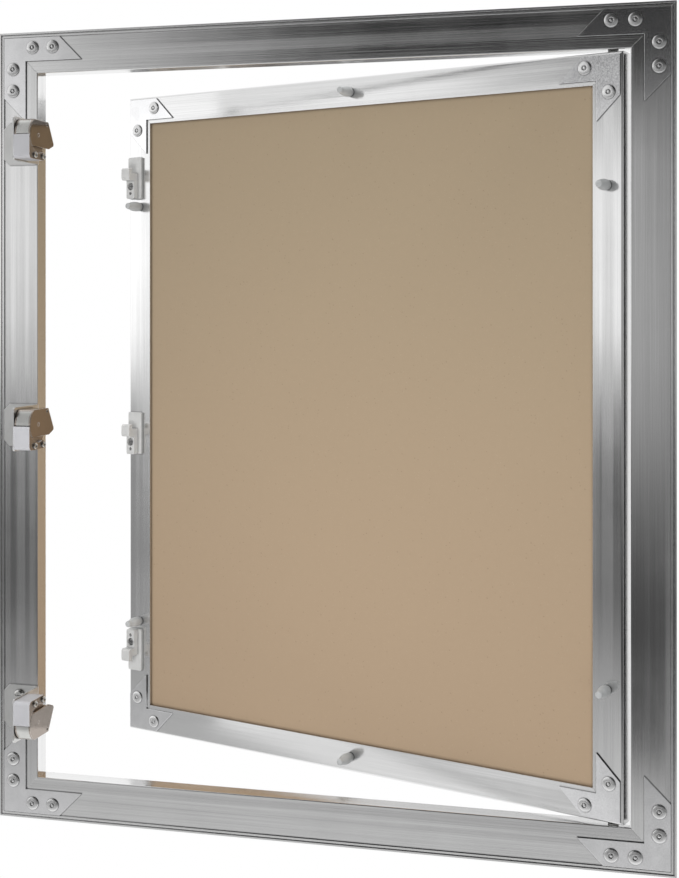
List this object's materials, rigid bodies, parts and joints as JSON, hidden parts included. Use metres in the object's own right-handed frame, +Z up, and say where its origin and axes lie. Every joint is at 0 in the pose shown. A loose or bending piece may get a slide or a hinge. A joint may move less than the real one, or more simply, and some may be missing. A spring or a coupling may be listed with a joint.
{
  "type": "drywall access panel",
  "caption": "Flush access panel: riveted aluminium frame, hinged board door on hidden pins, and sprung latches on the free edge.",
  "frame": {"origin": "middle of the opening, on the face of the flange that lies against the back of the wall board", "axes": "+Z up, +Y into the wall cavity, -Y into the room; the door hangs on the -X side"},
  "size_m": [0.57, 0.2011, 0.67],
  "materials": {
    "frame_profile": "mill-finish extrusion with fine draw lines along its length",
    "door_profile": "mill-finish extrusion with fine draw lines along its length",
    "corner_plate": "smooth punched sheet",
    "rivet": "turned blind rivet head",
    "steel_pin": "zinc plated",
    "hinge_bush": "natural acetal",
    "board_paper": "brown liner paper with flecks of fibre",
    "board_screw": "black phosphate",
    "tip_cap": "grey moulded plastic",
    "bracket_steel": "zinc plated sheet",
    "latch_casting": "light grey casting",
    "nickel": "bright nickel plate",
    "spring_steel": "bright drawn wire",
    "striker_plastic": "light grey moulding",
    "bracket_screw": "bright zinc"
  },
  "bodies": {
    "frame": {"bracket_screws": "bracket_screw", "frame_plate_bottom_hinge": "corner_plate", "frame_plate_bottom_latch": "corner_plate", "frame_plate_top_hinge": "corner_plate", "frame_plate_top_latch": "corner_plate", "frame_rail_bottom": "frame_profile", "frame_rail_top": "frame_profile", "frame_rivets": "rivet", "frame_stile_hinge": "frame_profile", "frame_stile_latch": "frame_profile", "hinge_pin_bottom": "steel_pin", "hinge_pin_top": "steel_pin", "latch_bracket_1": "bracket_steel", "latch_bracket_2": "bracket_steel", "latch_bracket_3": "bracket_steel", "latch_housing_1": "latch_casting", "latch_housing_2": "latch_casting", "latch_housing_3": "latch_casting", "latch_pivot_pin_1": "steel_pin", "latch_pivot_pin_2": "steel_pin", "latch_pivot_pin_3": "steel_pin", "latch_spring_1": "spring_steel", "latch_spring_2": "spring_steel", "latch_spring_3": "spring_steel", "latch_studs_1": "steel_pin", "latch_studs_2": "steel_pin", "latch_studs_3": "steel_pin"},
    "door": {"board_screws": "board_screw", "door_plate_bottom_hinge": "corner_plate", "door_plate_bottom_latch": "corner_plate", "door_plate_top_hinge": "corner_plate", "door_plate_top_latch": "corner_plate", "door_rail_bottom": "door_profile", "door_rail_top": "door_profile", "door_rivets": "rivet", "door_stile_hinge": "door_profile", "door_stile_latch": "door_profile", "drywall_board": "board_paper", "hinge_bush_bottom": "hinge_bush", "hinge_bush_top": "hinge_bush", "screw_cap_1": "tip_cap", "screw_cap_2": "tip_cap", "screw_cap_3": "tip_cap", "screw_cap_4": "tip_cap", "screw_cap_5": "tip_cap", "screw_cap_6": "tip_cap", "striker_1": "striker_plastic", "striker_2": "striker_plastic", "striker_3": "striker_plastic", "striker_screws": "bracket_screw"},
    "jaw_1": {"latch_jaw_1": "nickel"},
    "jaw_2": {"latch_jaw_2": "nickel"},
    "jaw_3": {"latch_jaw_3": "nickel"}
  },
  "joints": [
    {"name": "door_hinge", "type": "hinge", "parent": "frame", "child": "door", "pos_m": [-0.236, -0.008, 0], "axis": [0, 0, -1], "range_deg": [-17, 78]},
    {"name": "jaw_1_pivot", "type": "hinge", "parent": "frame", "child": "jaw_1", "pos_m": [0.2404, 0.0315, 0.2435], "axis": [1, 0, 0], "range_deg": [0, 18], "stiffness_Nm_per_rad": 0.05, "springref_deg": -20.05},
    {"name": "jaw_2_pivot", "type": "hinge", "parent": "frame", "child": "jaw_2", "pos_m": [0.2404, 0.0315, 0.0035], "axis": [1, 0, 0], "range_deg": [0, 18], "stiffness_Nm_per_rad": 0.05, "springref_deg": -20.05},
    {"name": "jaw_3_pivot", "type": "hinge", "parent": "frame", "child": "jaw_3", "pos_m": [0.2404, 0.0315, -0.2435], "axis": [-1, 0, 0], "range_deg": [0, 18], "stiffness_Nm_per_rad": 0.05, "springref_deg": -20.05}
  ]
}
